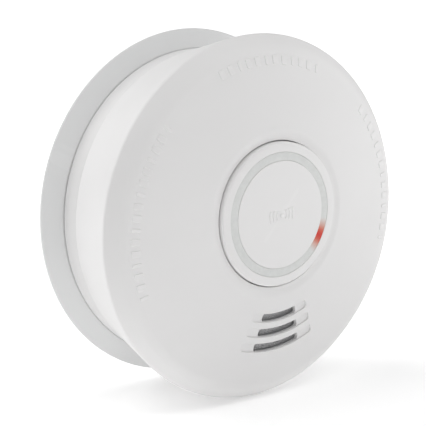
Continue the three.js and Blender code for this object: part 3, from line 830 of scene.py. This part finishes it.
def mounting_bracket():
    """The wall plate: a conical shoulder, ribs, hooks, pockets behind the edge, slots and keyholes."""
    outline = [
        (0.0, 0.0, 0),
        (BRACKET_RADIUS, 0.0, 0.25),
        (BRACKET_RADIUS, 0.9, 0.35),
        (BRACKET_LIP, BRACKET_HEIGHT, 0.2),
        (BRACKET_LIP - 1.6, BRACKET_HEIGHT, 0.3),
        (BRACKET_LIP - 1.6, 3.2, 0),
        (WEB_EDGE, WEB, 0.3),
    ]
    for rib in RIBS:
        outline += [
            (rib + RIB_WIDTH, WEB, 0.2),
            (rib + RIB_WIDTH, RIB_TOP, 0.4),
            (rib, RIB_TOP, 0.4),
            (rib, WEB, 0.2),
        ]
    outline.append((0.0, WEB, 0))
    plate = turned("mounting_bracket_plate", outline)
    hooks = []
    for angle in HOOK_ANGLES:
        stem = sector_outline(42.0, 44.0, angle - 7, angle + 7, 0.3)
        flange = sector_outline(42.0, 46.2, angle - 7, angle + 7, 0.5)
        hooks += [prism("stem", stem, 1.8, 7.9), prism("flange", flange, 6.5, 7.9)]
    boolean(plate, hooks, "UNION")
    removed = []
    for i in range(12):
        outline = sector_outline(50.8, 55.6, 30 * i + 1, 30 * i + 29, 0.8, 1.0)
        removed.append(prism("pocket", outline, -1.0, 1.2))
    for side in (-1, 1):
        middle = SCREW_OFFSET * side
        ends = [(middle + 6, 2.5), (middle - 6, 2.5), (middle - 6, -2.5), (middle + 6, -2.5)]
        removed.append(prism("slot", rounded([(x, y, 2.49) for x, y in ends]), -1.0, 5.0))
        removed.append(turned("key", [(0, -1), (4.5, -1), (4.5, 5), (0, 5)], (0.0, middle - 3), 48))
        neck = [(2.5, middle + 7, 2.0), (-2.5, middle + 7, 2.0), (-2.5, middle - 3), (2.5, middle - 3)]
        removed.append(prism("key_neck", rounded(neck), -1.0, 5.0))
    boolean(plate, removed, "DIFFERENCE")
    return settle(plate, "bracket", MATERIALS["bracket"], ["mounting_bracket"], 30)


# ---- Inner pieces carried over from the CAD -------------------------------------------------------
def return_spring():
    """The coil under the button, built at one fixed length on the detector's body; the real coil shortens as
    the button goes in.
    """
    bottom, top, radius, wire, turns = 26.5, 48.5, 6.0, 0.4, 7
    steps = turns * 36
    rings = []
    for i in range(steps + 1):
        t = i / steps
        even = (t + smoothstep((t * turns - 0.5) / (turns - 1))) / 2
        angle = 2 * math.pi * turns * t
        out = Vector((math.cos(angle), math.sin(angle), 0.0))
        middle = out * radius + Vector((0.0, BUTTON_Y, bottom + (top - bottom) * even))
        ring = []
        for q in range(10):
            turn = 2 * math.pi * q / 10
            ring.append(tuple(middle + out * wire * math.cos(turn) + Vector((0, 0, wire * math.sin(turn)))))
        rings.append(ring)
    spring = mesh_object("return_spring_coil", *loft(rings, False, True))
    settle(spring, "detector", MATERIALS["steel"], ["return_spring"], 60)
    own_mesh(spring)
    return spring


def finish_cad_nodes():
    """Each CAD node that still shows takes the material of its slot in the record."""
    slots = {row["node"]: row["material_slot"] for row in frame["record"]["subparts"]}
    for name, node in frame["nodes"].items():
        node.data.materials.clear()
        node.data.materials.append(MATERIALS[slots[name]])


# ---- Floor, light and camera ----------------------------------------------------------------------
def floor():
    """A pale studio table, which glows more the further it is from the object."""
    size = 4.0
    mesh = bpy.data.meshes.new("floor")
    level = -RIM_RADIUS / 1000 - 0.0004
    corners = [(-size, -size), (size, -size), (size, size), (-size, size)]
    mesh.from_pydata([LEAN @ Vector((x, y, level)) for x, y in corners], [], [(0, 1, 2, 3)])
    plane = bpy.data.objects.new("floor", mesh)
    bpy.context.scene.collection.objects.link(plane)
    g = Graph("floor")
    x, y = g.axis(0), g.axis(1)
    away = g.math("SQRT", g.math("ADD", g.math("MULTIPLY", x, x), g.math("MULTIPLY", y, y)))
    g.set(Base_Color=(0.96, 0.96, 0.96, 1.0), Roughness=0.9, Specular_IOR_Level=0.1)
    g.set(Emission_Color=(1.0, 1.0, 1.0, 1.0))
    g.set(Emission_Strength=g.spread(away, *GLOW_DISTANCE, *FLOOR_GLOW))
    mesh.materials.append(g.material)


def from_room(azimuth, elevation):
    """A direction out from the object; azimuth 0 is in front of the face, 90 to its right."""
    a, e = math.radians(azimuth), math.radians(elevation)
    return Vector((math.sin(a) * math.cos(e), -math.cos(a) * math.cos(e), math.sin(e)))


def area_light(name, azimuth, elevation, power, distance=1.2, size=0.7):
    """A square softbox that faces the object's middle."""
    away = LEAN @ from_room(azimuth, elevation)
    data = bpy.data.lights.new(name, "AREA")
    data.shape, data.size, data.energy = "SQUARE", size, power
    light = bpy.data.objects.new(name, data)
    light.location = away * distance + Vector((0.0, -0.025, 0.0))
    light.rotation_euler = away.to_track_quat("Z", "Y").to_euler()
    bpy.context.scene.collection.objects.link(light)


def studio():
    """Even soft light in front of a white backdrop, brightest from behind on the left."""
    world = bpy.data.worlds.new("studio")
    world.use_nodes = True
    nodes, links = world.node_tree.nodes, world.node_tree.links
    background = nodes["Background"]
    background.inputs["Color"].default_value = (1.0, 1.0, 1.0, 1.0)
    backdrop = nodes.new("ShaderNodeMapRange")
    links.new(nodes.new("ShaderNodeLightPath").outputs["Is Camera Ray"], backdrop.inputs["Value"])
    backdrop.inputs["To Min"].default_value = WORLD_LIGHT
    backdrop.inputs["To Max"].default_value = 1.0
    links.new(backdrop.outputs[0], background.inputs["Strength"])
    bpy.context.scene.world = world
    for name, azimuth, elevation, power in LIGHTS:
        area_light(name, azimuth, elevation, power)
    bpy.context.scene.view_settings.view_transform = "Standard"


def camera():
    """The camera stands left of the face and a little above it."""
    back = from_room(CAMERA_AZIMUTH, CAMERA_ELEVATION)
    data = bpy.data.cameras.new("camera")
    data.sensor_width = 36.0
    data.lens = CAMERA_LENS
    data.clip_start = 0.01
    eye = bpy.data.objects.new("camera", data)
    eye.location = LEAN @ (to_row(*CAMERA_AIM) + back * CAMERA_DISTANCE)
    eye.rotation_euler = (LEAN @ back.to_track_quat("Z", "Y").to_matrix()).to_euler()
    bpy.context.scene.collection.objects.link(eye)
    bpy.context.scene.camera = eye


camera()
studio()
floor()
finish_cad_nodes()
front_cover()
rim_marks()
test_button()
button_mark()
light_ring()
grille_screen()
rear_neck()
mounting_bracket()
return_spring()
